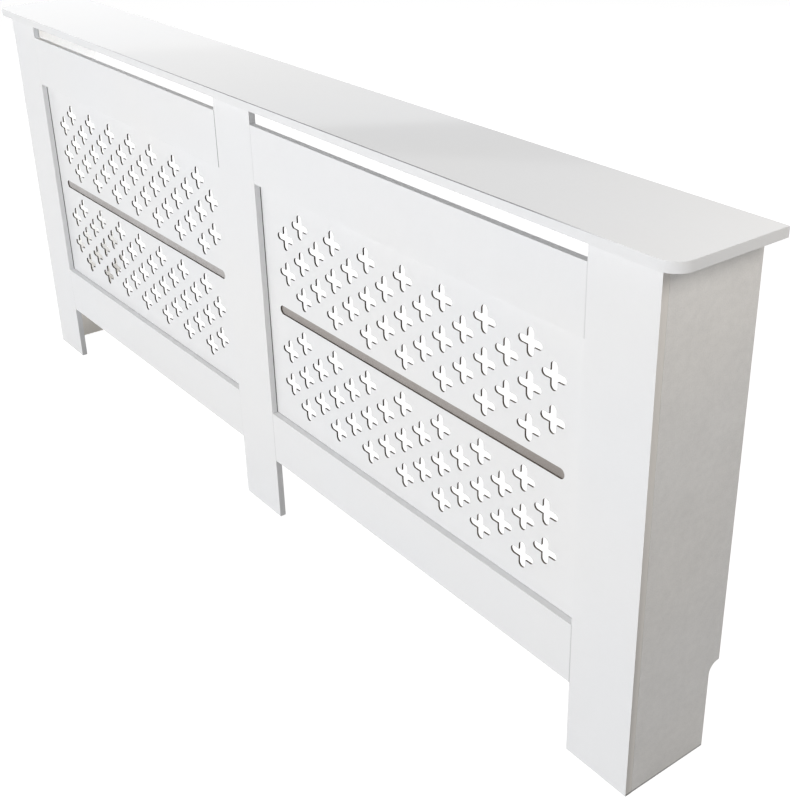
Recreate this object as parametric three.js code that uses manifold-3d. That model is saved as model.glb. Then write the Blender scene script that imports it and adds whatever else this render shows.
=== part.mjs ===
// A radiator cover cabinet in white-painted board, in millimetres, with +Z up and its front facing -Y.
// The origin is on the floor, under the middle of the shelf's outline, and +X is the cover's length.
// It is an open-backed box: a framed front with two grille bays, two side panels and a top shelf.
import * as THREE from "three";
import { mergeVertices } from "three/addons/utils/BufferGeometryUtils.js";
import Module from "manifold-3d";

const wasm = await Module();
wasm.setup();

// ---- Driving dimensions ----

// Outside of the whole cover
const overallWidth = 2050;
const overallDepth = 200;
const overallHeight = 830;

// Top shelf
const shelfThickness = 15;
const shelfCornerRadius = 30;
const shelfSideOverhang = 33.5;
const shelfFrontOverhang = 17;

// Front frame: three stiles that stand on the floor, and four rails butted between them
const frameThickness = 12;
const outerStileWidth = 122;
const centreStileWidth = 123;
const footGapHeight = 127;
const lowerRailHeight = 103;
const upperRailHeight = 104;
const ventHeight = 32;

// Side panels, each with a notch at the back that clears the wall's skirting board
const sideThickness = 12;
const notchHeight = 153;
const notchDepth = 20;
const notchRadius = 18;

// Grille sheets behind the frame's two openings
const sheetThickness = 3;
const sheetLap = 25;
const longSlotHeight = 17;
const longSlotMargin = 38;

// Cross cut-outs: an upper and a lower field of staggered rows in each sheet
const crossWidth = 49;
const crossHeight = 44;
const crossUprightWidth = 14;
const crossArmWidth = 12.5;
const crossWebAcross = 47;
const crossWebDown = 22;
const fieldGapToSlot = 12.5;
const fieldLeastRailMargin = 22;
const fieldLeastStileMargin = 36;
const upperFieldShift = 3;
const lowerFieldShift = -4.5;

// Raw strip that stiffens the sheet behind its long slot
const battenHeight = 28;
const battenThickness = 6;

// Dowels between the rails and the stiles
const dowelDiameter = 6;
const dowelLength = 30;
const dowelInset = 25;

// Softwood cleats in the corners and under the shelf, and the block behind the centre stile
const cleatSize = 18;
const cornerCleatFloorGap = 60;
const shelfCleatBackGap = 12;
const blockWidth = 50;
const blockHeight = 40;

// Screws through the cleats
const screwDiameter = 3.5;
const screwHeadDiameter = 7;
const screwHeadHeight = 2;
const screwBite = 7;
const screwEndMargin = 30;
const cornerScrewStep = 40;

// Steel angle brackets that hold the cover to the wall
const bracketHeightAboveFloor = 640;
const bracketLeg = 40;
const bracketWidth = 20;
const bracketThickness = 2;
const bracketScrewBite = 8;
const bracketFirstHole = 14;
const bracketSecondHole = 31;
const wallHoleDiameter = 5;

// Clearances: the hairline between pieces that touch, and the room round a pin and past its end
const hairline = 0.2;
const holeRoom = 0.2;
const holeEndRoom = 1;

// ---- Places that follow from the sizes ----

const bodyWidth = overallWidth - 2 * shelfSideOverhang;
const bodyHeight = overallHeight - shelfThickness;
const frontY = -overallDepth / 2 + shelfFrontOverhang;
const backY = overallDepth / 2;
const frameBackY = frontY + frameThickness;
const sheetFrontY = frameBackY + hairline;
const sheetBackY = sheetFrontY + sheetThickness;
const pieceTop = bodyHeight - hairline;
const sideInnerX = bodyWidth / 2 - sideThickness;
const lowerRailTop = footGapHeight + lowerRailHeight;
const upperRailTop = bodyHeight - ventHeight;
const upperRailBottom = upperRailTop - upperRailHeight;
const openingMiddleZ = (lowerRailTop + upperRailBottom) / 2;
const frameMiddleY = frontY + frameThickness / 2;
const cleatFrontY = frameBackY + hairline;
const shelfCleatBottom = pieceTop - cleatSize;
const cornerCleatTop = shelfCleatBottom - hairline;

// The two bays between the stiles, and which way is out from the middle of the cover
const bayInnerX = centreStileWidth / 2;
const bayOuterX = bodyWidth / 2 - outerStileWidth;
const bayWidth = bayOuterX - bayInnerX;
const ends = [
  { side: "left", out: -1 },
  { side: "right", out: 1 },
];
const rails = [
  { level: "lower", bottom: footGapHeight, top: lowerRailTop },
  { level: "upper", bottom: upperRailBottom, top: upperRailTop },
];

// ---- Finishes ----

const finishes = {
  paint: { color: 0xececee, roughness: 0.42, metalness: 0 },
  rawBoard: { color: 0x968f8a, roughness: 0.9, metalness: 0 },
  softwood: { color: 0xd6b988, roughness: 0.75, metalness: 0 },
  beech: { color: 0xcfa878, roughness: 0.7, metalness: 0 },
  zinc: { color: 0xb9bdc1, roughness: 0.35, metalness: 1 },
};

// ---- Shared geometry ----

// How finely round shapes are drawn: sides of a pin, facets of a cross's arm end and of a small arc
const pinSides = 6;
const crossEndFacets = 3;
const arcFineness = 3;

// How far a faceted arm end stands out, as a share of its radius: an odd count ends in a flat facet
const crossEndShare = crossEndFacets % 2 ? Math.cos(Math.PI / (2 * crossEndFacets)) : 1;

// The cover's axes, as directions
const X = new THREE.Vector3(1, 0, 0);
const Y = new THREE.Vector3(0, 1, 0);
const Z = new THREE.Vector3(0, 0, 1);

// A closed three.js geometry as a solid that can be cut, and back again.
function toSolid(geometry) {
  const bare = geometry.clone();
  bare.deleteAttribute("normal");
  bare.deleteAttribute("uv");
  const merged = mergeVertices(bare, 1e-4);
  return new wasm.Manifold(
    new wasm.Mesh({
      numProp: 3,
      vertProperties: new Float32Array(merged.attributes.position.array),
      triVerts: new Uint32Array(merged.index.array),
    }),
  );
}

function toGeometry(solid) {
  const mesh = solid.getMesh();
  const geometry = new THREE.BufferGeometry();
  geometry.setAttribute("position", new THREE.BufferAttribute(mesh.vertProperties, 3));
  geometry.setIndex(new THREE.BufferAttribute(mesh.triVerts, 1));
  const flat = geometry.toNonIndexed();
  flat.computeVertexNormals();
  return flat;
}

// A round bar from one point to another. Pins and their holes have the same sides, so that they nest.
function bar(diameter, from, to) {
  const length = from.distanceTo(to);
  const geometry = new THREE.CylinderGeometry(diameter / 2, diameter / 2, length, pinSides);
  geometry.applyQuaternion(turnTo(to.clone().sub(from).normalize()));
  const middle = from.clone().add(to).multiplyScalar(0.5);
  return geometry.translate(middle.x, middle.y, middle.z);
}

// The turn that lays a shape's own +Y along a direction.
function turnTo(direction) {
  return new THREE.Quaternion().setFromUnitVectors(Y, direction);
}

// Cuts holes, given in the cover's coordinates, out of a geometry that is placed at a point.
function cutHoles(geometry, place, holes) {
  let solid = toSolid(geometry);
  for (const hole of holes) {
    const tool = hole.clone().translate(-place.x, -place.y, -place.z);
    solid = solid.subtract(toSolid(tool));
  }
  return toGeometry(solid);
}

function addPiece(group, name, finish, geometry, place, holes = []) {
  const shape = holes.length ? cutHoles(geometry, place, holes) : geometry;
  const piece = new THREE.Mesh(shape, new THREE.MeshStandardMaterial(finish));
  piece.name = name;
  piece.position.copy(place);
  group.add(piece);
  return piece;
}

// A rectangular board between two corners, with its own origin in its middle.
function addBoard(group, name, finish, low, high, holes = []) {
  const size = high.clone().sub(low);
  const place = high.clone().add(low).multiplyScalar(0.5);
  addPiece(group, name, finish, new THREE.BoxGeometry(size.x, size.y, size.z), place, holes);
}

// The two x values of a piece on one side, from the smaller to the larger.
function span(out, inner, outer) {
  return out > 0 ? [inner, outer] : [-outer, -inner];
}

// ---- Dowels, whose places the rails and the stiles share ----

function dowelList() {
  const list = [];
  for (const { side, out } of ends) {
    for (const { level, bottom, top } of rails) {
      for (const [end, x] of [["inner", bayInnerX], ["outer", bayOuterX]]) {
        for (const [row, z] of [["low", bottom + dowelInset], ["high", top - dowelInset]]) {
          const name = `${side}_${level}_rail_${end}_dowel_${row}`;
          list.push({ name, side, level, end, at: new THREE.Vector3(out * x, frameMiddleY, z) });
        }
      }
    }
  }
  return list;
}

const dowels = dowelList();

// The hole across a joint that holds one dowel, with room past both of its ends.
function dowelHole({ at }) {
  const reach = X.clone().multiplyScalar(dowelLength / 2 + holeEndRoom);
  return bar(dowelDiameter + holeRoom, at.clone().sub(reach), at.clone().add(reach));
}

function makeDowels() {
  const group = new THREE.Group();
  for (const { name, at } of dowels) {
    const geometry = new THREE.CylinderGeometry(dowelDiameter / 2, dowelDiameter / 2, dowelLength, pinSides);
    const dowel = addPiece(group, name, finishes.beech, geometry, at);
    dowel.quaternion.copy(turnTo(X));
  }
  return group;
}

// ---- Screws, whose places the pieces that they join share ----

// Each screw starts where its head seats, points along its direction and is this long under its head.
// A corner cleat's screws go forward into the stile and, a step higher, sideways into the side panel.
function cornerScrewList() {
  const length = cleatSize + hairline + screwBite;
  const list = [];
  for (const { side, out } of ends) {
    const farX = sideInnerX - hairline - cleatSize;
    const rows = [
      ["low", cornerCleatFloorGap + screwEndMargin],
      ["high", cornerCleatTop - screwEndMargin - cornerScrewStep],
    ];
    for (const [row, z] of rows) {
      list.push({
        name: `${side}_corner_cleat_stile_screw_${row}`,
        seat: new THREE.Vector3(out * (farX + cleatSize / 2), cleatFrontY + cleatSize, z),
        direction: Y.clone().negate(),
        length,
      });
      list.push({
        name: `${side}_corner_cleat_side_screw_${row}`,
        seat: new THREE.Vector3(out * farX, cleatFrontY + cleatSize / 2, z + cornerScrewStep),
        direction: X.clone().multiplyScalar(out),
        length,
      });
    }
  }
  return list;
}

// A shelf cleat is screwed up into the shelf near its front and its back end.
function shelfScrewList() {
  const rows = [
    ["front", cleatFrontY + screwEndMargin],
    ["back", backY - shelfCleatBackGap - screwEndMargin],
  ];
  return ends.flatMap(({ side, out }) =>
    rows.map(([row, y]) => ({
      name: `${side}_shelf_cleat_screw_${row}`,
      seat: new THREE.Vector3(out * (sideInnerX - hairline - cleatSize / 2), y, shelfCleatBottom),
      direction: Z,
      length: cleatSize + hairline + screwBite,
    })),
  );
}

// The block is screwed up into the shelf near each end, and forward into the centre stile.
function blockScrewList() {
  const middleY = cleatFrontY + cleatSize / 2;
  const inset = blockWidth / 4;
  const upLength = blockHeight + hairline + screwBite;
  const list = ends.map(({ side, out }) => ({
    name: `centre_block_${side}_screw`,
    seat: new THREE.Vector3(out * inset, middleY, pieceTop - blockHeight),
    direction: Z,
    length: upLength,
  }));
  const seat = new THREE.Vector3(0, middleY + cleatSize / 2, pieceTop - blockHeight / 2);
  const length = cleatSize + hairline + screwBite;
  list.push({ name: "centre_block_stile_screw", seat, direction: Y.clone().negate(), length });
  return list;
}

function bracketScrewList() {
  const list = [];
  for (const { side, out } of ends) {
    for (const [row, along] of [["back", bracketFirstHole], ["front", bracketSecondHole]]) {
      const x = out * (sideInnerX - hairline - bracketThickness);
      const seat = new THREE.Vector3(x, backY - along, bracketHeightAboveFloor);
      const direction = X.clone().multiplyScalar(out);
      const length = bracketThickness + hairline + bracketScrewBite;
      list.push({ name: `${side}_bracket_screw_${row}`, seat, direction, length });
    }
  }
  return list;
}

const screws = [
  ...cornerScrewList(),
  ...shelfScrewList(),
  ...blockScrewList(),
  ...bracketScrewList(),
];

// The hole that a screw runs in, from behind its seat to a little past its tip.
function screwHole({ seat, direction, length }) {
  const from = seat.clone().addScaledVector(direction, -screwHeadHeight);
  const to = seat.clone().addScaledVector(direction, length + holeEndRoom);
  return bar(screwDiameter + holeRoom, from, to);
}

// A domed head, a plain shank and a pointed tip, turned about the screw's own axis.
function makeScrews() {
  const group = new THREE.Group();
  for (const { name, seat, direction, length } of screws) {
    const profile = [
      new THREE.Vector2(0, -hairline - screwHeadHeight),
      new THREE.Vector2(screwHeadDiameter / 2, -hairline),
      new THREE.Vector2(screwDiameter / 2, -hairline),
      new THREE.Vector2(screwDiameter / 2, length - screwDiameter / 2),
      new THREE.Vector2(0, length),
    ];
    const screw = addPiece(group, name, finishes.zinc, new THREE.LatheGeometry(profile, pinSides), seat);
    screw.quaternion.copy(turnTo(direction));
  }
  return group;
}

// The holes of every dowel or screw whose name starts with one of the given words.
function holesOf(...starts) {
  const chosen = ({ name }) => starts.some((start) => name.startsWith(start));
  return [...dowels.filter(chosen).map(dowelHole), ...screws.filter(chosen).map(screwHole)];
}

// ---- Front frame ----

function makeFrame() {
  const group = new THREE.Group();
  for (const { side, out } of ends) {
    const [x0, x1] = span(out, bayOuterX, bodyWidth / 2);
    const low = new THREE.Vector3(x0, frontY, 0);
    const high = new THREE.Vector3(x1, frameBackY, pieceTop);
    const joints = dowels.filter((dowel) => dowel.side === side && dowel.end === "outer").map(dowelHole);
    const holes = [...joints, ...holesOf(`${side}_corner_cleat_stile`)];
    addBoard(group, `${side}_stile`, finishes.paint, low, high, holes);
  }
  const low = new THREE.Vector3(-bayInnerX, frontY, 0);
  const high = new THREE.Vector3(bayInnerX, frameBackY, pieceTop);
  const joints = dowels.filter((dowel) => dowel.end === "inner").map(dowelHole);
  addBoard(group, "centre_stile", finishes.paint, low, high, [...joints, ...holesOf("centre_block_stile")]);

  for (const { side, out } of ends) {
    const [x0, x1] = span(out, bayInnerX + hairline, bayOuterX - hairline);
    for (const { level, bottom, top } of rails) {
      const railLow = new THREE.Vector3(x0, frontY, bottom);
      const railHigh = new THREE.Vector3(x1, frameBackY, top);
      const name = `${side}_${level}_rail`;
      addBoard(group, name, finishes.paint, railLow, railHigh, holesOf(`${name}_`));
    }
  }
  return group;
}

// ---- Grille sheets ----

// A plus with round arm ends. Each arm adds its inner corner and then the half circle of its end.
function crossPath(centreX, centreZ) {
  const points = [];
  for (let arm = 0; arm < 4; arm++) {
    const upright = arm % 2 === 0;
    const half = (upright ? crossUprightWidth : crossArmWidth) / 2;
    const corner = (upright ? crossArmWidth : crossUprightWidth) / 2;
    const reach = (upright ? crossHeight : crossWidth) / 2 - half * crossEndShare;
    const angle = (Math.PI / 2) * (1 - arm);
    const along = new THREE.Vector2(Math.cos(angle), Math.sin(angle));
    const left = new THREE.Vector2(-along.y, along.x);
    points.push(along.clone().multiplyScalar(corner).addScaledVector(left, half));
    for (let facet = 0; facet <= crossEndFacets; facet++) {
      const turn = Math.PI * (0.5 - facet / crossEndFacets);
      const forward = reach + half * Math.cos(turn);
      points.push(along.clone().multiplyScalar(forward).addScaledVector(left, half * Math.sin(turn)));
    }
  }
  const centre = new THREE.Vector2(centreX, centreZ);
  return new THREE.Path(points.map((point) => point.add(centre)));
}

// The long slot, with a half circle at each of its ends.
function longSlotPath() {
  const radius = longSlotHeight / 2;
  const reach = bayWidth / 2 - longSlotMargin - radius;
  const path = new THREE.Path();
  path.absarc(reach, 0, radius, Math.PI / 2, -Math.PI / 2, true);
  path.absarc(-reach, 0, radius, -Math.PI / 2, -1.5 * Math.PI, true);
  return path;
}

// Staggered rows of crosses: long rows and short rows take turns, and a field starts with a short one.
function crossPaths() {
  const pitchX = crossWidth + crossWebAcross;
  const pitchZ = (crossHeight + crossWebDown) / 2;
  const openingHeight = upperRailBottom - lowerRailTop;
  const rowRoom = (openingHeight - longSlotHeight) / 2 - fieldGapToSlot - fieldLeastRailMargin - crossHeight;
  const rows = Math.floor(rowRoom / pitchZ) + 1;
  const longRow = Math.floor((bayWidth - 2 * fieldLeastStileMargin - crossWidth) / pitchX) + 1;
  const firstRow = longSlotHeight / 2 + fieldGapToSlot + crossHeight / 2;
  const paths = [];
  for (const [up, shift] of [[1, upperFieldShift], [-1, lowerFieldShift]]) {
    for (let row = 0; row < rows; row++) {
      const count = row % 2 === 0 ? longRow - 1 : longRow;
      for (let i = 0; i < count; i++) {
        const x = shift + (i - (count - 1) / 2) * pitchX;
        paths.push(crossPath(x, up * (firstRow + row * pitchZ)));
      }
    }
  }
  return paths;
}

function makeGrilles() {
  const group = new THREE.Group();
  const width = bayWidth + 2 * sheetLap;
  const height = upperRailBottom - lowerRailTop + 2 * sheetLap;
  const outline = new THREE.Shape();
  outline.moveTo(-width / 2, -height / 2);
  outline.lineTo(width / 2, -height / 2);
  outline.lineTo(width / 2, height / 2);
  outline.lineTo(-width / 2, height / 2);
  outline.holes = [...crossPaths(), longSlotPath()];
  const options = { depth: sheetThickness, bevelEnabled: false, curveSegments: arcFineness };
  for (const { side, out } of ends) {
    // Drawn in X and Z, and pressed out towards the front from the sheet's back face
    const sheet = new THREE.ExtrudeGeometry(outline, options);
    sheet.applyMatrix4(new THREE.Matrix4().makeBasis(X, Z, Y.clone().negate()));
    const middleX = (out * (bayInnerX + bayOuterX)) / 2;
    const place = new THREE.Vector3(middleX, sheetBackY, openingMiddleZ);
    addPiece(group, `${side}_grille_panel`, finishes.paint, sheet, place);

    const battenSize = new THREE.Vector3(width, battenThickness, battenHeight);
    const battenMiddleY = sheetBackY + hairline + battenThickness / 2;
    const low = new THREE.Vector3(middleX, battenMiddleY, openingMiddleZ).addScaledVector(battenSize, -0.5);
    addBoard(group, `${side}_slot_batten`, finishes.rawBoard, low, low.clone().add(battenSize));
  }
  return group;
}

// ---- Side panels ----

function makeSides() {
  const group = new THREE.Group();
  const frontEdge = cleatFrontY;
  const radius = Math.min(notchRadius, notchDepth);
  const notchY = backY - notchDepth;
  const outline = new THREE.Shape();
  outline.moveTo(frontEdge, 0);
  outline.lineTo(notchY, 0);
  outline.absarc(notchY + radius, notchHeight - radius, radius, Math.PI, Math.PI / 2, true);
  if (radius < notchDepth) outline.lineTo(backY, notchHeight);
  outline.lineTo(backY, pieceTop);
  outline.lineTo(frontEdge, pieceTop);
  const options = { depth: sideThickness, bevelEnabled: false, curveSegments: arcFineness };
  for (const { side, out } of ends) {
    const panel = new THREE.ExtrudeGeometry(outline, options);
    panel.applyMatrix4(new THREE.Matrix4().makeBasis(Y, Z, X));
    const place = new THREE.Vector3(span(out, sideInnerX, bodyWidth / 2)[0], 0, 0);
    const holes = holesOf(`${side}_corner_cleat_side`, `${side}_bracket`);
    addPiece(group, `${side}_side_panel`, finishes.paint, panel, place, holes);
  }
  return group;
}

// ---- Top shelf ----

function makeShelf() {
  const halfWidth = overallWidth / 2;
  const radius = shelfCornerRadius;
  const noseY = -overallDepth / 2;
  const outline = new THREE.Shape();
  outline.moveTo(halfWidth, backY);
  outline.lineTo(-halfWidth, backY);
  outline.absarc(-halfWidth + radius, noseY + radius, radius, Math.PI, 1.5 * Math.PI, false);
  outline.absarc(halfWidth - radius, noseY + radius, radius, 1.5 * Math.PI, 2 * Math.PI, false);
  const options = { depth: shelfThickness, bevelEnabled: false, curveSegments: arcFineness };
  const shelf = new THREE.ExtrudeGeometry(outline, options);
  const holes = holesOf("left_shelf_cleat", "right_shelf_cleat", "centre_block_left", "centre_block_right");
  const group = new THREE.Group();
  addPiece(group, "top_shelf", finishes.paint, shelf, new THREE.Vector3(0, 0, bodyHeight), holes);
  return group;
}

// ---- Cleats and block ----

function makeCleats() {
  const group = new THREE.Group();
  for (const { side, out } of ends) {
    const outerX = sideInnerX - hairline;
    const [x0, x1] = span(out, outerX - cleatSize, outerX);
    const cornerLow = new THREE.Vector3(x0, cleatFrontY, cornerCleatFloorGap);
    const cornerHigh = new THREE.Vector3(x1, cleatFrontY + cleatSize, cornerCleatTop);
    const cornerHoles = holesOf(`${side}_corner_cleat`);
    addBoard(group, `${side}_corner_cleat`, finishes.softwood, cornerLow, cornerHigh, cornerHoles);
    const shelfLow = new THREE.Vector3(x0, cleatFrontY, shelfCleatBottom);
    const shelfHigh = new THREE.Vector3(x1, backY - shelfCleatBackGap, pieceTop);
    const shelfHoles = holesOf(`${side}_shelf_cleat`);
    addBoard(group, `${side}_shelf_cleat`, finishes.softwood, shelfLow, shelfHigh, shelfHoles);
  }
  const blockLow = new THREE.Vector3(-blockWidth / 2, cleatFrontY, pieceTop - blockHeight);
  const blockHigh = new THREE.Vector3(blockWidth / 2, cleatFrontY + cleatSize, pieceTop);
  addBoard(group, "centre_shelf_block", finishes.softwood, blockLow, blockHigh, holesOf("centre_block"));
  return group;
}

// ---- Wall brackets ----

// A bent strip: one leg lies on the side panel and the other is flush with the cover's back.
function makeBrackets() {
  const group = new THREE.Group();
  const options = { depth: bracketWidth, bevelEnabled: false, curveSegments: 1 };
  const t = bracketThickness;
  for (const { side, out } of ends) {
    const outerX = sideInnerX - hairline;
    const outline = new THREE.Shape();
    outline.moveTo(0, -bracketLeg);
    outline.lineTo(-out * t, -bracketLeg);
    outline.absarc(-out * 2 * t, -2 * t, t, out > 0 ? 0 : Math.PI, Math.PI / 2, out < 0);
    outline.lineTo(-out * bracketLeg, -t);
    outline.lineTo(-out * bracketLeg, 0);
    outline.absarc(-out * 2 * t, -2 * t, 2 * t, Math.PI / 2, out > 0 ? 0 : Math.PI, out > 0);
    const strip = new THREE.ExtrudeGeometry(outline, options);
    const place = new THREE.Vector3(out * outerX, backY, bracketHeightAboveFloor - bracketWidth / 2);
    const wallHoleX = out * (outerX - bracketSecondHole);
    const wallHole = bar(
      wallHoleDiameter,
      new THREE.Vector3(wallHoleX, backY - 2 * t, bracketHeightAboveFloor),
      new THREE.Vector3(wallHoleX, backY + t, bracketHeightAboveFloor),
    );
    const holes = [...holesOf(`${side}_bracket`), wallHole];
    addPiece(group, `${side}_wall_bracket`, finishes.zinc, strip, place, holes);
  }
  return group;
}

// ---- The whole cover ----

const cover = new THREE.Group();
cover.name = "radiator_cover";
cover.add(makeShelf(), makeSides(), makeFrame(), makeGrilles());
cover.add(makeDowels(), makeCleats(), makeBrackets(), makeScrews());

export default cover;
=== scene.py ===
import math

import bmesh
import bpy
from mathutils import Euler, Matrix, Vector


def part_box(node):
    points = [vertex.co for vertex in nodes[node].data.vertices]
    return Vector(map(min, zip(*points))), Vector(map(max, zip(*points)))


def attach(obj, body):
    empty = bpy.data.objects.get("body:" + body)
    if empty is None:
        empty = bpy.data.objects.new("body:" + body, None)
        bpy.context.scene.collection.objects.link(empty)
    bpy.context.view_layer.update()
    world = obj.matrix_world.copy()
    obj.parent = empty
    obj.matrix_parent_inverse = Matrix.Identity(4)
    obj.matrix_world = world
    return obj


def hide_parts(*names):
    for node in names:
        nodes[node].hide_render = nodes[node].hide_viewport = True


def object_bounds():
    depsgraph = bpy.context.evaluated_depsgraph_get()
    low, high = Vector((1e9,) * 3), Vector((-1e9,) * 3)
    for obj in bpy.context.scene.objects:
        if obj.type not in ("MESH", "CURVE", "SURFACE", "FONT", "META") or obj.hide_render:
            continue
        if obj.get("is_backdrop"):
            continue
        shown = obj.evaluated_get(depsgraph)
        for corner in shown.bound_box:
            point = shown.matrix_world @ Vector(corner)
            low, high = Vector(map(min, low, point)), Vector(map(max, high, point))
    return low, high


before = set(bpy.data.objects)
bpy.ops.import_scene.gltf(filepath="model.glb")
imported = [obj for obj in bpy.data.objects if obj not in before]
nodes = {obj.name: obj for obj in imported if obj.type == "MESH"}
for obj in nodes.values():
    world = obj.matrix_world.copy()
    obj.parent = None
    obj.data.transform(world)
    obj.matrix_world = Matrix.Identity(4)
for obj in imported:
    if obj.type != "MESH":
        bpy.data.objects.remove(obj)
cad_low, cad_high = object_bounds()
sides = {"left": -1, "right": 1}

# ---- Front frame ----
# Three stiles stand on the floor and hold four rails between them, all cut from 12 mm fibreboard.
# The boards are sanded, with their front edges barely broken and their back edges eased further,
# and are rolled with two coats of satin white paint.

frame_boards = ["left_stile", "centre_stile", "right_stile"]
frame_boards += [f"{side}_{level}_rail" for side in sides for level in ("lower", "upper")]
frame_front, frame_back = (corner.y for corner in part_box("centre_stile"))
frame_edge_radius = 0.0010
frame_front_share = 0.45

paint_colour = (0.836, 0.836, 0.843, 1)
paint_warm = (0.840, 0.836, 0.826, 1)
paint_cool = (0.824, 0.834, 0.846, 1)


def group_tree(name, kind, inputs, outputs):
    """A node group of that kind with sockets given as (name, type, default), and its two ends."""
    tree = bpy.data.node_groups.new(name, kind)
    for socket, socket_type, value in inputs:
        made = tree.interface.new_socket(socket, in_out="INPUT", socket_type=socket_type)
        if value is not None:
            made.default_value = value
    for socket, socket_type in outputs:
        tree.interface.new_socket(socket, in_out="OUTPUT", socket_type=socket_type)
    return tree, tree.nodes.new("NodeGroupInput").outputs, tree.nodes.new("NodeGroupOutput").inputs


def add(tree, kind, inputs=None, **settings):
    """Adds a node to a tree. An input is a plain value, or the output of another node."""
    node = tree.nodes.new(kind)
    for setting, value in settings.items():
        setattr(node, setting, value)
    for socket, value in (inputs or {}).items():
        if isinstance(value, bpy.types.NodeSocket):
            tree.links.new(value, node.inputs[socket])
        else:
            node.inputs[socket].default_value = value
    return node


def mix_colours(tree, share, first, second):
    node = add(tree, "ShaderNodeMix", {0: share, 6: first, 7: second}, data_type="RGBA")
    return node.outputs[2]


def spread(tree, value, low, high, to_low, to_high):
    """A value from low to high becomes one from to_low to to_high, and stays between them."""
    node = add(tree, "ShaderNodeMapRange", {0: value, 1: low, 2: high, 3: to_low, 4: to_high})
    return node.outputs[0]


def noise(tree, place, scale, detail=2.0, roughness=0.5):
    inputs = {"Vector": place, "Scale": scale, "Detail": detail, "Roughness": roughness}
    return add(tree, "ShaderNodeTexNoise", inputs).outputs["Fac"]


def calculate(tree, operation, *values):
    node = add(tree, "ShaderNodeMath", dict(enumerate(values)), operation=operation)
    return node.outputs[0]


square_corner_angle = math.radians(70)
crisp_corner_angle = math.radians(40)


def edge_group():
    """Marks a board's square corners, those at its front with a smaller share of the radius."""
    tree, given, made = group_tree(
        "Board corners",
        "GeometryNodeTree",
        [
            ("Geometry", "NodeSocketGeometry", None),
            ("Middle", "NodeSocketFloat", 0.0),
            ("Front share", "NodeSocketFloat", 1.0),
        ],
        [("Geometry", "NodeSocketGeometry")],
    )
    angle = add(tree, "GeometryNodeInputMeshEdgeAngle").outputs[0]
    square = calculate(tree, "GREATER_THAN", angle, square_corner_angle)
    depth = add(tree, "ShaderNodeSeparateXYZ", {0: add(tree, "GeometryNodeInputPosition").outputs[0]})
    behind = calculate(tree, "GREATER_THAN", depth.outputs["Y"], given["Middle"])
    share = spread(tree, behind, 0.0, 1.0, given["Front share"], 1.0)
    weight = calculate(tree, "MULTIPLY", square, share)
    store = add(
        tree,
        "GeometryNodeStoreNamedAttribute",
        {"Geometry": given["Geometry"], "Name": "bevel_weight_edge", "Value": weight},
        data_type="FLOAT",
        domain="EDGE",
    )
    tree.links.new(store.outputs[0], made["Geometry"])
    return tree


def shading_group():
    """Smooth shading over the small steps of a round, and a crisp line at a true corner."""
    tree, given, made = group_tree(
        "Smooth rounds",
        "GeometryNodeTree",
        [("Geometry", "NodeSocketGeometry", None)],
        [("Geometry", "NodeSocketGeometry")],
    )
    angle = add(tree, "GeometryNodeInputMeshEdgeAngle").outputs[0]
    corner = calculate(tree, "GREATER_THAN", angle, crisp_corner_angle)
    smooth = add(tree, "GeometryNodeSetShadeSmooth", {0: given["Geometry"], 2: True}, domain="FACE")
    crisp = add(
        tree,
        "GeometryNodeSetShadeSmooth",
        {0: smooth.outputs[0], 1: corner, 2: False},
        domain="EDGE",
    )
    tree.links.new(crisp.outputs[0], made["Geometry"])
    return tree


board_corners = edge_group()
smooth_rounds = shading_group()


def ease_edges(board, radius, front_share=1.0):
    """Eases the corners of a flat-faced piece, and shades its rounds smoothly."""
    low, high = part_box(board.name) if board.name in nodes else (Vector(), Vector())
    weld = board.modifiers.new("Weld", "WELD")
    weld.merge_threshold = 1e-6
    flat = board.modifiers.new("Flat faces", "DECIMATE")
    flat.decimate_type = "DISSOLVE"
    flat.angle_limit = math.radians(0.5)
    marks = board.modifiers.new("Corners", "NODES")
    marks.node_group = board_corners
    settings = {"Middle": (low.y + high.y) / 2, "Front share": front_share}
    for item in board_corners.interface.items_tree:
        if item.name in settings and item.in_out == "INPUT":
            marks[item.identifier] = settings[item.name]
    bevel = board.modifiers.new("Eased corners", "BEVEL")
    bevel.limit_method = "WEIGHT"
    bevel.width = radius
    bevel.segments = 3
    bevel.miter_outer = "MITER_SHARP"
    bevel.harden_normals = False
    board.modifiers.new("Rounds", "NODES").node_group = smooth_rounds
    level = board.modifiers.new("Face shading", "WEIGHTED_NORMAL")
    level.keep_sharp = True


surface_outputs = [
    ("Colour", "NodeSocketColor"),
    ("Roughness", "NodeSocketFloat"),
    ("Normal", "NodeSocketVector"),
]


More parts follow.
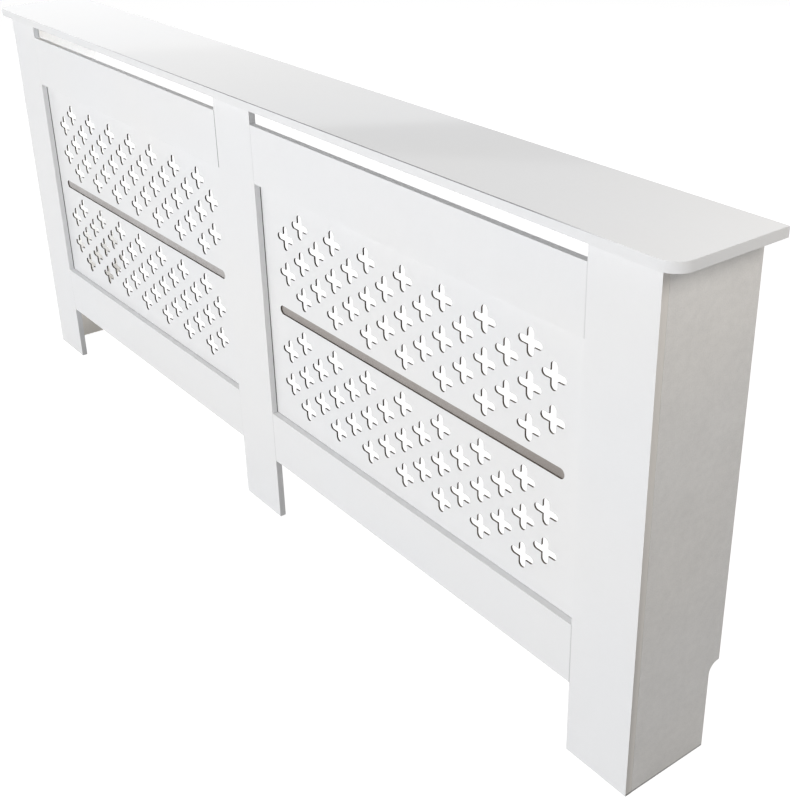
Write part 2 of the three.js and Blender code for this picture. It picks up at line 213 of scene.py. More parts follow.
def paint_group():
    """Rolled satin paint: slow warm and cool drifts, mottling, roller stipple and duller cut edges."""
    tree, given, made = group_tree(
        "Rolled paint",
        "ShaderNodeTree",
        [
            ("Place", "NodeSocketVector", None),
            ("Colour", "NodeSocketColor", paint_colour),
            ("Edge", "NodeSocketFloat", 0.0),
            ("Mottle", "NodeSocketFloat", 0.15),
            ("Sheen", "NodeSocketFloat", 0.22),
        ],
        surface_outputs,
    )
    place = given["Place"]
    drift = noise(tree, place, 3.2, detail=1.5)
    tone = mix_colours(tree, spread(tree, drift, 0.35, 0.65, 0.0, 1.0), paint_warm, paint_cool)
    body = mix_colours(tree, 0.5, given["Colour"], tone)
    cloud = spread(tree, noise(tree, place, 17.0, detail=3.0), 0.3, 0.7, -0.022, 0.022)
    blotch = spread(tree, noise(tree, place, 95.0, detail=3.0), 0.3, 0.7, -0.028, 0.028)
    grit = spread(tree, noise(tree, place, 480.0, detail=2.0, roughness=0.7), 0.3, 0.7, -0.040, 0.040)
    uneven = calculate(tree, "ADD", calculate(tree, "ADD", cloud, blotch), grit)
    even = calculate(tree, "MULTIPLY_ADD", uneven, given["Mottle"], 1.0)
    shade = calculate(tree, "MULTIPLY", even, spread(tree, given["Edge"], 0.0, 1.0, 1.0, 0.985))
    tinted = add(tree, "ShaderNodeVectorMath", {0: body, 3: shade}, operation="SCALE").outputs[0]
    tree.links.new(tinted, made["Colour"])

    patchy = spread(tree, noise(tree, place, 14.0, detail=3.0), 0.3, 0.7, 0.88, 1.12)
    sheen = calculate(tree, "MULTIPLY", patchy, given["Sheen"])
    dulled = calculate(tree, "MULTIPLY_ADD", given["Edge"], 0.16, sheen)
    tree.links.new(dulled, made["Roughness"])

    stipple = noise(tree, place, 340.0, detail=1.0)
    fibre = noise(tree, place, 900.0, detail=1.0)
    edge_fibre = calculate(tree, "MULTIPLY", fibre, given["Edge"])
    height = calculate(tree, "ADD", stipple, edge_fibre)
    relief = spread(tree, given["Edge"], 0.0, 1.0, 0.04, 0.10)
    bump = add(tree, "ShaderNodeBump", {"Strength": relief, "Distance": 0.00012, "Height": height})
    tree.links.new(bump.outputs[0], made["Normal"])
    return tree


rolled_paint = paint_group()


def new_material(name):
    """A material with its node tree, its object coordinates and a Principled shader, ready to fill."""
    material = bpy.data.materials.new(name)
    material.use_nodes = True
    tree = material.node_tree
    tree.nodes.clear()
    shader = tree.nodes.new("ShaderNodeBsdfPrincipled")
    output = tree.nodes.new("ShaderNodeOutputMaterial")
    tree.links.new(shader.outputs[0], output.inputs["Surface"])
    place = tree.nodes.new("ShaderNodeTexCoord").outputs["Object"]
    return material, tree, place, shader


def use_group(tree, group, shader, inputs):
    """Places a shared effect in a material and joins what it puts out to the shader."""
    node = add(tree, "ShaderNodeGroup", inputs, node_tree=group)
    for made, socket in (("Colour", "Base Color"), ("Roughness", "Roughness"), ("Normal", "Normal")):
        tree.links.new(node.outputs[made], shader.inputs[socket])


paint_refraction = 1.45


def painted_board(name, face_axis, colour=paint_colour, mottle=0.12, sheen=0.22):
    """Painted board whose broad faces look along an axis, so that its other faces are cut edges."""
    material, tree, place, shader = new_material(name)
    facing = add(tree, "ShaderNodeSeparateXYZ", {0: add(tree, "ShaderNodeNewGeometry").outputs["Normal"]})
    broad = calculate(tree, "ABSOLUTE", facing.outputs[face_axis])
    edge = spread(tree, broad, 0.3, 0.9, 1.0, 0.0)
    inputs = {"Place": place, "Colour": colour, "Edge": edge, "Mottle": mottle, "Sheen": sheen}
    use_group(tree, rolled_paint, shader, inputs)
    shader.inputs["IOR"].default_value = paint_refraction
    return material


def product(tree, *values):
    """Several masks multiplied together."""
    total = values[0]
    for value in values[1:]:
        total = calculate(tree, "MULTIPLY", total, value)
    return total


def between(tree, value, low, high, blur):
    """1 from a low to a high value and 0 outside them, with soft ends."""
    above = spread(tree, value, low - blur, low + blur, 0.0, 1.0)
    return product(tree, above, spread(tree, value, high - blur, high + blur, 1.0, 0.0))


def colour_where(material, make_mask, colour):
    """Lays a colour over a material's own one wherever its mask is 1."""
    tree = material.node_tree
    shader = next(node for node in tree.nodes if node.type == "BSDF_PRINCIPLED")
    place = next(node for node in tree.nodes if node.type == "TEX_COORD").outputs["Object"]
    at = add(tree, "ShaderNodeSeparateXYZ", {0: place}).outputs
    normal = add(tree, "ShaderNodeNewGeometry").outputs["Normal"]
    facing = add(tree, "ShaderNodeSeparateXYZ", {0: normal}).outputs
    under = shader.inputs["Base Color"].links[0].from_socket
    mask = make_mask(tree, at, facing)
    tree.links.new(mix_colours(tree, mask, under, colour), shader.inputs["Base Color"])


def dress(piece, material):
    """Gives a piece its finish, in its first material slot."""
    if piece.material_slots:
        piece.material_slots[0].material = material
    else:
        piece.data.materials.append(material)


# The sheets stand off the frame by a hair. Painted shade: a dark line is laid on the frame's inner edges at
# their back corner, round each opening, strongest at the left and weaker on the ledges. The same dark
# colour serves the other painted shade on the frame and the side boards, and the open joints
shade_and_joint_colour = (0.045, 0.043, 0.042, 1)
gap_width = 0.0018
gap_share_left, gap_share_right = 0.95, 0.45
gap_share_on_ledge = 0.45
gap_eases_from_x, gap_eases_to_x = 0.1, 0.4
opening_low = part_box("left_lower_rail")[1].z
opening_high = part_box("left_upper_rail")[0].z
stile_inner_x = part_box("right_stile")[0].x


def painted_gap_shade(tree, at, facing):
    inside_x = between(tree, at["X"], -stile_inner_x - 0.001, stile_inner_x + 0.001, 0.0002)
    inside_z = between(tree, at["Z"], opening_low - 0.0005, opening_high + 0.0005, 0.0001)
    at_back = spread(tree, at["Y"], frame_back - gap_width, frame_back - gap_width * 0.7, 0.0, 1.0)
    is_edge = between(tree, facing["Y"], -0.5, 0.8, 0.1)
    share = spread(tree, at["X"], gap_eases_from_x, gap_eases_to_x, gap_share_left, gap_share_right)
    ledge = spread(tree, facing["Z"], 0.3, 0.7, 1.0, gap_share_on_ledge)
    return product(tree, inside_x, inside_z, at_back, is_edge, share, ledge)


# How far the paint has opened along the joint at each rail's end
joint_half_width = 0.0009
joint_share_at_top = 0.7
centre_half_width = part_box("centre_stile")[1].x
open_joints = {
    ("left", "upper", "inner"): 1.0,
    ("left", "lower", "inner"): 0.08,
    ("left", "lower", "outer"): 0.12,
    ("right", "upper", "inner"): 0.12,
    ("right", "lower", "inner"): 0.24,
    ("right", "upper", "outer"): 0.16,
    ("right", "lower", "outer"): 0.36,
}


def joint_lines(tree, at, facing):
    total = 0.0
    for (side, level, end), share in open_joints.items():
        low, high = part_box(f"{side}_{level}_rail")
        x = sides[side] * (centre_half_width if end == "inner" else stile_inner_x)
        across = between(tree, at["X"], x - joint_half_width, x + joint_half_width, 0.0003)
        along = between(tree, at["Z"], low.z, high.z, 0.0005)
        opened = spread(tree, at["Z"], low.z, high.z, share, share * joint_share_at_top)
        line = product(tree, across, along, opened)
        total = calculate(tree, "MAXIMUM", line, total)
    return product(tree, total, spread(tree, facing["Y"], -0.5, -0.2, 1.0, 0.0))


# Painted light: the cover's ends, and the outer stiles' sawn edges beside them, are a warmer white than its
# front, which paints in the warm light falling on the ends. Painted shade darkens the outer stiles' sawn
# edges beside their front corners, most of all low down
painted_warm_light_colour = (0.880, 0.846, 0.800, 1)
end_starts_at_x = (0.95, 0.96)
corner_shade_high, corner_shade_low = 0.07, 0.26
corner_shade_levels = (0.25, 0.50)
corner_shade_reach = (0.002, 0.010)
corner_shade_past_reach = 0.2


def outer_edge(tree, at, facing):
    outside = spread(tree, calculate(tree, "ABSOLUTE", facing["X"]), 0.6, 0.9, 0.0, 1.0)
    at_end = spread(tree, calculate(tree, "ABSOLUTE", at["X"]), *end_starts_at_x, 0.0, 1.0)
    return product(tree, outside, at_end)


# Painted shade: a dark line on the outer stiles' sawn edges beside their front corners, darker low down
def painted_corner_shade(tree, at, facing):
    level = spread(tree, at["Z"], *corner_shade_levels, corner_shade_low, corner_shade_high)
    near, far = (frame_front + reach for reach in corner_shade_reach)
    from_corner = spread(tree, at["Y"], near, far, 1.0, corner_shade_past_reach)
    return product(tree, level, from_corner, outer_edge(tree, at, facing))


# Painted shade: a thin dark line along the bottom of the cover's right end, where it stands on the floor,
# most of all at the front, and painted shade greying the left stile's inner edge below and above its rails
foot_line_height = 0.0042
foot_line_front, foot_line_back = 0.75, 0.40
foot_line_back_y = 0.08
end_shade_share_below, end_shade_share_above = 0.34, 0.42
end_shade_clear_below, end_shade_full_below, end_shade_full_above = 0.0040, 0.0065, 0.0010


def painted_foot_shadow(tree, at, facing):
    low = spread(tree, at["Z"], foot_line_height * 0.5, foot_line_height, 1.0, 0.0)
    outside = spread(tree, facing["X"], 0.5, 0.8, 0.0, 1.0)
    at_end = spread(tree, at["X"], *end_starts_at_x, 0.0, 1.0)
    along = spread(tree, at["Y"], frame_back, foot_line_back_y, foot_line_front, foot_line_back)
    return product(tree, low, outside, at_end, along)


# Painted shade on the left stile's inner edge, below and above its rails
def painted_end_shade(tree, at, facing):
    rails_low, rails_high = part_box("left_lower_rail")[0].z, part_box("left_upper_rail")[1].z
    full_z, clear_z = rails_low - end_shade_full_below, rails_low - end_shade_clear_below
    below = spread(tree, at["Z"], full_z, clear_z, end_shade_share_below, 0.0)
    above = spread(tree, at["Z"], rails_high, rails_high + end_shade_full_above, 0.0, end_shade_share_above)
    at_left = between(tree, at["X"], -stile_inner_x - 0.002, -stile_inner_x + 0.002, 0.0005)
    inner = spread(tree, facing["X"], 0.5, 0.8, 0.0, 1.0)
    return product(tree, calculate(tree, "ADD", below, above), at_left, inner)


frame_paint = painted_board("Painted frame board", "Y")
# Painted light on the outer edges; painted shade at the corners, foot, left stile and openings; dark joints
colour_where(frame_paint, outer_edge, painted_warm_light_colour)
colour_where(frame_paint, painted_corner_shade, shade_and_joint_colour)
colour_where(frame_paint, painted_foot_shadow, shade_and_joint_colour)
colour_where(frame_paint, painted_end_shade, shade_and_joint_colour)
colour_where(frame_paint, painted_gap_shade, shade_and_joint_colour)
colour_where(frame_paint, joint_lines, shade_and_joint_colour)
for name in frame_boards:
    ease_edges(nodes[name], frame_edge_radius, frame_front_share)
    dress(nodes[name], frame_paint)

# ---- Rail dowels ----
# Each rail end is glued to its stile with two 6 mm beech dowels. They are bought fluted along their
# length, so that the glue can escape, with a chamfer at each end.

dowel_flutes = 16
dowel_flute_depth = 0.00025
dowel_chamfer = 0.0008
dowel_points = 96

beech_light = (0.640, 0.410, 0.225, 1)
beech_dark = (0.470, 0.275, 0.140, 1)
beech_rings = 120.0
beech_fleck = 0.5


def mesh_piece(name, mesh):
    piece = bpy.data.objects.new(name, mesh)
    bpy.context.scene.collection.objects.link(piece)
    return piece


def close_rings(shape, rings):
    """Joins rings of points into a closed skin, with a flat cap on the first and the last ring."""
    for near, far in zip(rings, rings[1:]):
        for i, corner in enumerate(near):
            after = (i + 1) % len(near)
            shape.faces.new((corner, near[after], far[after], far[i]))
    shape.faces.new(list(reversed(rings[0])))
    shape.faces.new(rings[-1])


def fluted_dowel_mesh(length, radius):
    shape = bmesh.new()
    stations = [
        (-length / 2, dowel_chamfer),
        (-length / 2 + dowel_chamfer, 0.0),
        (length / 2 - dowel_chamfer, 0.0),
        (length / 2, dowel_chamfer),
    ]
    rings = []
    for x, inset in stations:
        ring = []
        for i in range(dowel_points):
            turn = 2 * math.pi * i / dowel_points
            groove = dowel_flute_depth * (0.5 - 0.5 * math.cos(dowel_flutes * turn)) ** 2
            r = radius - inset - groove
            ring.append(shape.verts.new((x, r * math.cos(turn), r * math.sin(turn))))
        rings.append(ring)
    close_rings(shape, rings)
    mesh = bpy.data.meshes.new("fluted_dowel")
    shape.to_mesh(mesh)
    shape.free()
    return mesh


def grain_group():
    """Planed wood: late-wood lines round a distant pith, fine fibres along X and darker flecks."""
    tree, given, made = group_tree(
        "Wood grain",
        "ShaderNodeTree",
        [
            ("Place", "NodeSocketVector", None),
            ("Light", "NodeSocketColor", beech_light),
            ("Dark", "NodeSocketColor", beech_dark),
            ("Rings", "NodeSocketFloat", 78.0),
            ("Fleck", "NodeSocketFloat", 0.3),
        ],
        surface_outputs,
    )
    pith = add(tree, "ShaderNodeMapping", {0: given["Place"], 1: (0.0, 0.055, 0.028)}).outputs[0]
    wander = add(tree, "ShaderNodeMapping", {0: pith, 3: (0.35, 1.0, 1.0)}).outputs[0]
    rings = add(
        tree,
        "ShaderNodeTexWave",
        {"Vector": wander, "Scale": given["Rings"], "Distortion": 2.2, "Detail": 2.0, "Detail Scale": 0.6},
        wave_type="RINGS",
        rings_direction="X",
        wave_profile="SAW",
    ).outputs["Fac"]
    late = spread(tree, rings, 0.55, 1.0, 0.0, 0.75)
    along = add(tree, "ShaderNodeMapping", {0: given["Place"], 3: (0.03, 1.0, 1.0)}).outputs[0]
    fibres = noise(tree, along, 1400.0, detail=3.0, roughness=0.65)
    streaks = noise(tree, along, 160.0, detail=2.0)
    short = add(tree, "ShaderNodeMapping", {0: given["Place"], 3: (0.22, 1.0, 1.0)}).outputs[0]
    fleck = spread(tree, noise(tree, short, 900.0, detail=1.0), 0.62, 0.70, 0.0, given["Fleck"])
    fine = spread(tree, fibres, 0.3, 0.7, -0.16, 0.16)
    broad = spread(tree, streaks, 0.3, 0.7, -0.14, 0.14)
    total = calculate(tree, "ADD", calculate(tree, "ADD", late, fleck), calculate(tree, "ADD", fine, broad))
    share = spread(tree, total, 0.0, 1.0, 0.0, 1.0)
    tree.links.new(mix_colours(tree, share, given["Light"], given["Dark"]), made["Colour"])
    tree.links.new(spread(tree, total, 0.0, 1.0, 0.78, 0.62), made["Roughness"])
    bump = add(tree, "ShaderNodeBump", {"Strength": 0.5, "Distance": 0.00008, "Height": fibres})
    tree.links.new(bump.outputs[0], made["Normal"])
    return tree


wood_grain = grain_group()


def wood(name, light, dark, rings, fleck, turn=(0.0, 0.0, 0.0)):
    """Bare wood whose grain runs along X once the object's coordinates are turned."""
    material, tree, place, shader = new_material(name)
    turned = add(tree, "ShaderNodeMapping", {0: place, 2: turn}).outputs[0]
    inputs = {"Place": turned, "Light": light, "Dark": dark, "Rings": rings, "Fleck": fleck}
    use_group(tree, wood_grain, shader, inputs)
    shader.inputs["Specular IOR Level"].default_value = 0.35
    return material


def stand_in_for(piece, node):
    """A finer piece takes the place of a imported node, on the same body."""
    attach(piece, "root")
    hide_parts(node)


dowel_nodes = sorted(name for name in nodes if "_dowel_" in name)
dowel_low, dowel_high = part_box(dowel_nodes[0])
dowel_length = dowel_high.x - dowel_low.x
dowel_mesh = fluted_dowel_mesh(dowel_length, (dowel_high.z - dowel_low.z) / 2)
dowel_mesh.materials.append(wood("Beech dowel", beech_light, beech_dark, beech_rings, beech_fleck))
for name in dowel_nodes:
    low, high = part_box(name)
    dowel = mesh_piece(name + ".fluted", dowel_mesh)
    dowel.location = (low + high) / 2
    stand_in_for(dowel, name)

# ---- Grille panels ----
# Each panel is one 3 mm fibreboard sheet behind its frame opening, laser-cut with two fields of
# staggered crosses and a long slot between them, and then painted on its faces. The beam leaves the
# walls of the cut-outs dark brown and bare. The sheet is glued to the frame's back.

cross_width = 0.049
cross_height = 0.044
cross_upright_width = 0.014
cross_arm_width = 0.0125
arm_end_steps = 10
slot_end_steps = 16
corner_fillet = 0.0004

burnt_brown = (0.062, 0.048, 0.038, 1)
burnt_black = (0.020, 0.016, 0.013, 1)
scorched_brown = (0.260, 0.225, 0.195, 1)
scorched_dark = (0.110, 0.092, 0.078, 1)
scorched_from_x, scorched_to_x = 0.25, 0.65
scorched_in_slot = 0.55


def wall_islands(node):
    """The box, in X and Z, of every closed wall of a sheet that faces along Y: the rim and each hole."""
    shape = bmesh.new()
    shape.from_mesh(node.data)
    bmesh.ops.remove_doubles(shape, verts=shape.verts, dist=1e-6)
    shape.normal_update()
    left = {face for face in shape.faces if abs(face.normal.y) < 0.5}
    boxes = []
    while left:
        found, front = [], [left.pop()]
        while front:
            face = front.pop()
            found.append(face)
            for edge in face.edges:
                for other in edge.link_faces:
                    if other in left:
                        left.remove(other)
                        front.append(other)
        xs = [corner.co.x for face in found for corner in face.verts]
        zs = [corner.co.z for face in found for corner in face.verts]
        boxes.append((min(xs), max(xs), min(zs), max(zs)))
    shape.free()
    return sorted(boxes, key=lambda box: box[0] - box[1])


def arc(centre_x, centre_z, radius, start, end, steps):
    """Points from one angle to another, with both ends."""
    points = []
    for i in range(steps + 1):
        turn = start + (end - start) * i / steps
        points.append((centre_x + radius * math.cos(turn), centre_z + radius * math.sin(turn)))
    return points


def cross_outline(x, z):
    """A plus with round arm ends and finely rounded inner corners, as the beam leaves it."""
    points = []
    for arm in range(4):
        upright = arm % 2 == 0
        half = (cross_upright_width if upright else cross_arm_width) / 2
        corner = (cross_arm_width if upright else cross_upright_width) / 2
        reach = (cross_height if upright else cross_width) / 2 - half
        turn = Matrix.Rotation(math.pi / 2 * (1 - arm), 2)
        inner = arc(corner + corner_fillet, half + corner_fillet, corner_fillet, math.pi, 1.5 * math.pi, 3)
        end = arc(reach, 0.0, half, math.pi / 2, -math.pi / 2, arm_end_steps)
        for px, pz in inner + end:
            placed = turn @ Vector((px, pz))
            points.append((x + placed.x, z + placed.y))
    return points


def slot_outline(low_x, high_x, low_z, high_z):
    radius = (high_z - low_z) / 2
    middle = (high_z + low_z) / 2
    right = arc(high_x - radius, middle, radius, -math.pi / 2, math.pi / 2, slot_end_steps)
    return right + arc(low_x + radius, middle, radius, math.pi / 2, 1.5 * math.pi, slot_end_steps)


def rectangle(low_x, high_x, low_z, high_z):
    return [(low_x, low_z), (high_x, low_z), (high_x, high_z), (low_x, high_z)]


def cut_sheet(name, outlines, front, thickness):
    """Presses closed outlines, drawn in X and Z, into one sheet, with its walls joined to its faces."""
    curve = bpy.data.curves.new(name, "CURVE")
    curve.dimensions = "2D"
    curve.fill_mode = "BOTH"
    curve.extrude = thickness / 2
    for outline in outlines:
        spline = curve.splines.new("POLY")
        spline.points.add(len(outline) - 1)
        for point, (x, z) in zip(spline.points, outline):
            point.co = (x, z, 0.0, 1.0)
        spline.use_cyclic_u = True
    drawn = bpy.data.objects.new(name + "_outline", curve)
    bpy.context.scene.collection.objects.link(drawn)
    bpy.context.view_layer.update()
    raw = bpy.data.meshes.new_from_object(drawn.evaluated_get(bpy.context.evaluated_depsgraph_get()))
    bpy.data.objects.remove(drawn)
    bpy.data.curves.remove(curve)
    shape = bmesh.new()
    shape.from_mesh(raw)
    bpy.data.meshes.remove(raw)
    bmesh.ops.remove_doubles(shape, verts=shape.verts, dist=1e-6)
    # Drawn flat, then stood up so that the outline's own Z looks towards the front
    stand = Matrix(((1, 0, 0), (0, 0, -1), (0, 1, 0)))
    bmesh.ops.transform(shape, matrix=stand.to_4x4(), verts=shape.verts)
    bmesh.ops.translate(shape, vec=(0.0, front + thickness / 2, 0.0), verts=shape.verts)
    bmesh.ops.recalc_face_normals(shape, faces=shape.faces)
    mesh = bpy.data.meshes.new(name)
    shape.to_mesh(mesh)
    shape.free()
    return mesh


def grille_mesh(node):
    low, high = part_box(node.name)
    rim, slot, *crosses = wall_islands(node)
    outlines = [rectangle(*rim), slot_outline(*slot)]
    outlines += [cross_outline((x0 + x1) / 2, (z0 + z1) / 2) for x0, x1, z0, z1 in crosses]
    mesh = cut_sheet(node.name + ".cut", outlines, low.y, high.y - low.y)
    margin = 1e-4
    for face in mesh.polygons:
        inside_x = rim[0] + margin < face.center.x < rim[1] - margin
        inside_z = rim[2] + margin < face.center.z < rim[3] - margin
        is_wall = abs(face.normal.y) < 0.5
        face.material_index = 1 if is_wall and inside_x and inside_z else 0
        face.use_smooth = is_wall
    return mesh


slot_low, slot_high = wall_islands(nodes["left_grille_panel"])[1][2:]


def burnt_edge():
    """The bare wall that a laser leaves, streaked through the sheet: paler at the right and in the slot."""
    material, tree, place, shader = new_material("Laser-cut edge")
    through = add(tree, "ShaderNodeMapping", {0: place, 3: (1.0, 0.06, 1.0)}).outputs[0]
    streak = noise(tree, through, 1700.0, detail=3.0, roughness=0.7)
    soot = noise(tree, place, 120.0, detail=2.0)
    share = calculate(tree, "MULTIPLY_ADD", soot, 0.5, spread(tree, streak, 0.3, 0.7, -0.2, 0.7))
    share = spread(tree, share, 0.0, 1.0, 0.0, 1.0)
    left = mix_colours(tree, share, burnt_brown, burnt_black)
    right = mix_colours(tree, share, scorched_brown, scorched_dark)
    at = add(tree, "ShaderNodeSeparateXYZ", {0: place}).outputs
    in_slot = product(tree, between(tree, at["Z"], slot_low, slot_high, 0.0005), scorched_in_slot)
    to_right = spread(tree, at["X"], scorched_from_x, scorched_to_x, 0.0, 1.0)
    paler = calculate(tree, "MAXIMUM", to_right, in_slot)
    colour = mix_colours(tree, paler, left, right)
    tree.links.new(colour, shader.inputs["Base Color"])
    tree.links.new(spread(tree, streak, 0.3, 0.7, 0.75, 0.92), shader.inputs["Roughness"])
    bump = add(tree, "ShaderNodeBump", {"Strength": 0.6, "Distance": 0.0001, "Height": streak})
    tree.links.new(bump.outputs[0], shader.inputs["Normal"])
    shader.inputs["Specular IOR Level"].default_value = 0.2
    return material


sheet_paint = painted_board("Painted sheet", "Y")
cut_edge = burnt_edge()
for side in sides:
    name = side + "_grille_panel"
    mesh = grille_mesh(nodes[name])
    mesh.materials.append(sheet_paint)
    mesh.materials.append(cut_edge)
    panel = mesh_piece(name + ".cut", mesh)
    stand_in_for(panel, name)

# ---- Slot battens ----
# A strip of bare 6 mm fibreboard is glued across the back of each sheet, behind its long slot. It
# stiffens the sheet where the slot weakens it, and it is the grey-brown strip that shows in the slot.

fibre_pale = (0.475, 0.450, 0.430, 1)
fibre_deep = (0.275, 0.245, 0.225, 1)
fibre_paler = (0.660, 0.652, 0.645, 1)
fibre_darker = (0.350, 0.325, 0.305, 1)
paler_until_x = (-0.05, 0.05)
darker_from_x = (0.5, 0.85)


def fibreboard_group():
    """Raw pressed fibre: a felt of short fibres with scattered dark specks and slow patches."""
    tree, given, made = group_tree(
        "Raw fibre",
        "ShaderNodeTree",
        [
            ("Place", "NodeSocketVector", None),
            ("Pale", "NodeSocketColor", fibre_pale),
            ("Deep", "NodeSocketColor", fibre_deep),
        ],
        surface_outputs,
    )
    place = given["Place"]
    lying = add(tree, "ShaderNodeMapping", {0: place, 3: (0.25, 1.0, 1.0)}).outputs[0]
    crossing = add(tree, "ShaderNodeMapping", {0: place, 2: (0.0, 0.9, 0.0), 3: (1.0, 1.0, 0.3)}).outputs[0]
    felt = calculate(
        tree,
        "MAXIMUM",
        noise(tree, lying, 1100.0, detail=3.0, roughness=0.6),
        noise(tree, crossing, 1300.0, detail=3.0, roughness=0.6),
    )
    patch = noise(tree, place, 18.0, detail=2.0)
    speck = spread(tree, noise(tree, place, 620.0, detail=1.0), 0.66, 0.74, 0.0, 0.5)
    total = calculate(tree, "ADD", spread(tree, felt, 0.4, 0.75, 0.75, 0.0), speck)
    total = calculate(tree, "ADD", total, spread(tree, patch, 0.3, 0.7, -0.1, 0.1))
    share = spread(tree, total, 0.0, 1.0, 0.0, 1.0)
    tree.links.new(mix_colours(tree, share, given["Pale"], given["Deep"]), made["Colour"])
    tree.links.new(spread(tree, felt, 0.4, 0.75, 0.95, 0.82), made["Roughness"])
    bump = add(tree, "ShaderNodeBump", {"Strength": 0.5, "Distance": 0.00012, "Height": felt})
    tree.links.new(bump.outputs[0], made["Normal"])
    return tree


raw_fibre = fibreboard_group()
batten_edge_radius = 0.0004

raw_board, tree, place, shader = new_material("Raw fibreboard")
batten_x = add(tree, "ShaderNodeSeparateXYZ", {0: place}).outputs["X"]
past_middle = spread(tree, batten_x, *paler_until_x, 0.0, 1.0)
far_right = spread(tree, batten_x, *darker_from_x, 0.0, 1.0)
left_to_right = mix_colours(tree, past_middle, fibre_paler, fibre_pale)
pale = mix_colours(tree, far_right, left_to_right, fibre_darker)
use_group(tree, raw_fibre, shader, {"Place": place, "Pale": pale, "Deep": fibre_deep})
shader.inputs["Specular IOR Level"].default_value = 0.25
for side in sides:
    batten = nodes[side + "_slot_batten"]
    ease_edges(batten, batten_edge_radius)
    dress(batten, raw_board)

# ---- Side panels ----
# A 12 mm board stands behind each outer stile and reaches the wall. Its lower back corner is sawn out
# with a round inner corner, so that it clears the skirting board. It is painted like the frame.

side_edge_radius = 0.0009

# Painted shade greys the faces that look into the cover, low down towards the floor
inner_shade_colour = (0.54, 0.46, 0.34, 1)
inner_shade_share = 0.30
inner_shade_full_height, inner_shade_clear_height = 0.13, 0.30


def painted_inner_shade(tree, at, facing):
    inward = spread(tree, calculate(tree, "MULTIPLY", at["X"], facing["X"]), -0.9, -0.5, 1.0, 0.0)
    low_down = spread(tree, at["Z"], inner_shade_full_height, inner_shade_clear_height, inner_shade_share, 0.0)
    return product(tree, inward, low_down)


# Painted light: the side boards' warmer white; painted shade along their foot and low on their inner faces
side_paint = painted_board("Painted side board", "X", painted_warm_light_colour, mottle=1.0)
colour_where(side_paint, painted_foot_shadow, shade_and_joint_colour)
colour_where(side_paint, painted_inner_shade, inner_shade_colour)
for side in sides:
    panel = nodes[side + "_side_panel"]
    ease_edges(panel, side_edge_radius)
    dress(panel, side_paint)

# ---- Cleats and centre block ----
# Planed 18 mm softwood holds the boards to each other out of sight: an upright cleat in each front
# corner, a level one under each end of the shelf, and a block behind the head of the centre stile.

cleat_edge_radius = 0.0012
softwood_light = (0.730, 0.540, 0.300, 1)
softwood_dark = (0.480, 0.270, 0.110, 1)
softwood_rings = 70.0
softwood_fleck = 0.1
quarter = math.pi / 2


def softwood(name, turn):
    return wood(name, softwood_light, softwood_dark, softwood_rings, softwood_fleck, turn)


upright_grain = softwood("Softwood upright", (0.0, quarter, 0.0))
level_grain = softwood("Softwood level", (0.0, 0.0, quarter))
block_grain = softwood("Softwood block", (0.0, 0.0, 0.0))
cleats = {"centre_shelf_block": block_grain}
for side in sides:
    cleats[side + "_corner_cleat"] = upright_grain
    cleats[side + "_shelf_cleat"] = level_grain
for name, grain in cleats.items():
    ease_edges(nodes[name], cleat_edge_radius)
    dress(nodes[name], grain)

# ---- Screws ----
# Bright zinc-plated 3.5 mm wood screws with pan heads and a cross recess go through the cleats, the
# block and the brackets. Each is turned home with its coarse thread in the next board.

screw_radius = 0.00175
screw_core_radius = 0.00115
screw_head_radius = 0.0035
screw_head_height = 0.0020
screw_seat_gap = 0.0002
thread_pitch = 0.0016
thread_points = 24
thread_rows = 8
tip_length = 0.0045
recess_reach = 0.0019
recess_half_width = 0.00042
recess_depth = 0.0013
recess_wall = 0.00022
head_points = 64
head_rings = 16
turn_between_screws = 2.4

zinc_pale = (0.600, 0.625, 0.655, 1)
zinc_dark = (0.430, 0.445, 0.470, 1)


def thread_radius(turn, along, length):
    """The skin of a helical thread, with a sharp crest on a plain core, running out to a point."""
    phase = (along / thread_pitch - turn / (2 * math.pi)) % 1.0
    crest = max(0.0, 1.0 - abs(phase - 0.5) * 4.0)
    radius = screw_core_radius + (screw_radius - screw_core_radius) * crest
    to_tip = (length - along) / tip_length
    return radius * min(1.0, max(to_tip, 0.02) ** 0.8)


def head_height(x, y):
    """How high a pan head stands over its seat at a point, with its cross recess let in."""
    r = min(math.hypot(x, y) / screw_head_radius, 1.0)
    dome = screw_head_height * (1.0 - 0.28 * r * r - 0.72 * r**9)
    arms = []
    for across, along in ((x, y), (y, x)):
        beside = (recess_half_width - abs(across)) / recess_wall
        beyond = (recess_reach - abs(along)) / recess_wall
        arms.append(min(beside, beyond))
    inside = min(1.0, max(0.0, max(arms) * 0.5 + 0.5))
    sloped = recess_depth * (1.0 - 0.45 * math.hypot(x, y) / recess_reach)
    return dome - sloped * inside * inside * (3.0 - 2.0 * inside)


def screw_mesh(length):
    """A screw along its own -Z, seated at the origin, with its head above."""
    shape = bmesh.new()
    rows = int(length / thread_pitch * thread_rows)
    rings = []
    for row in range(rows + 1):
        along = length * row / rows
        ring = []
        for i in range(thread_points):
            turn = 2 * math.pi * i / thread_points
            r = thread_radius(turn, along, length)
            ring.append(shape.verts.new((r * math.cos(turn), -r * math.sin(turn), -along)))
        rings.append(ring)
    close_rings(shape, rings)
    rings = []
    for step in range(head_rings + 1):
        share = 1.0 - step / head_rings
        ring = []
        for i in range(head_points):
            turn = 2 * math.pi * i / head_points
            x = max(share, 0.01) * screw_head_radius * math.cos(turn)
            y = max(share, 0.01) * screw_head_radius * math.sin(turn)
            ring.append(shape.verts.new((x, y, screw_seat_gap + head_height(x, y))))
        rings.append(ring)
    close_rings(shape, rings)
    bmesh.ops.recalc_face_normals(shape, faces=shape.faces)
    for face in shape.faces:
        face.smooth = len(face.verts) == 4
    mesh = bpy.data.meshes.new("wood_screw")
    shape.to_mesh(mesh)
    shape.free()
    return mesh


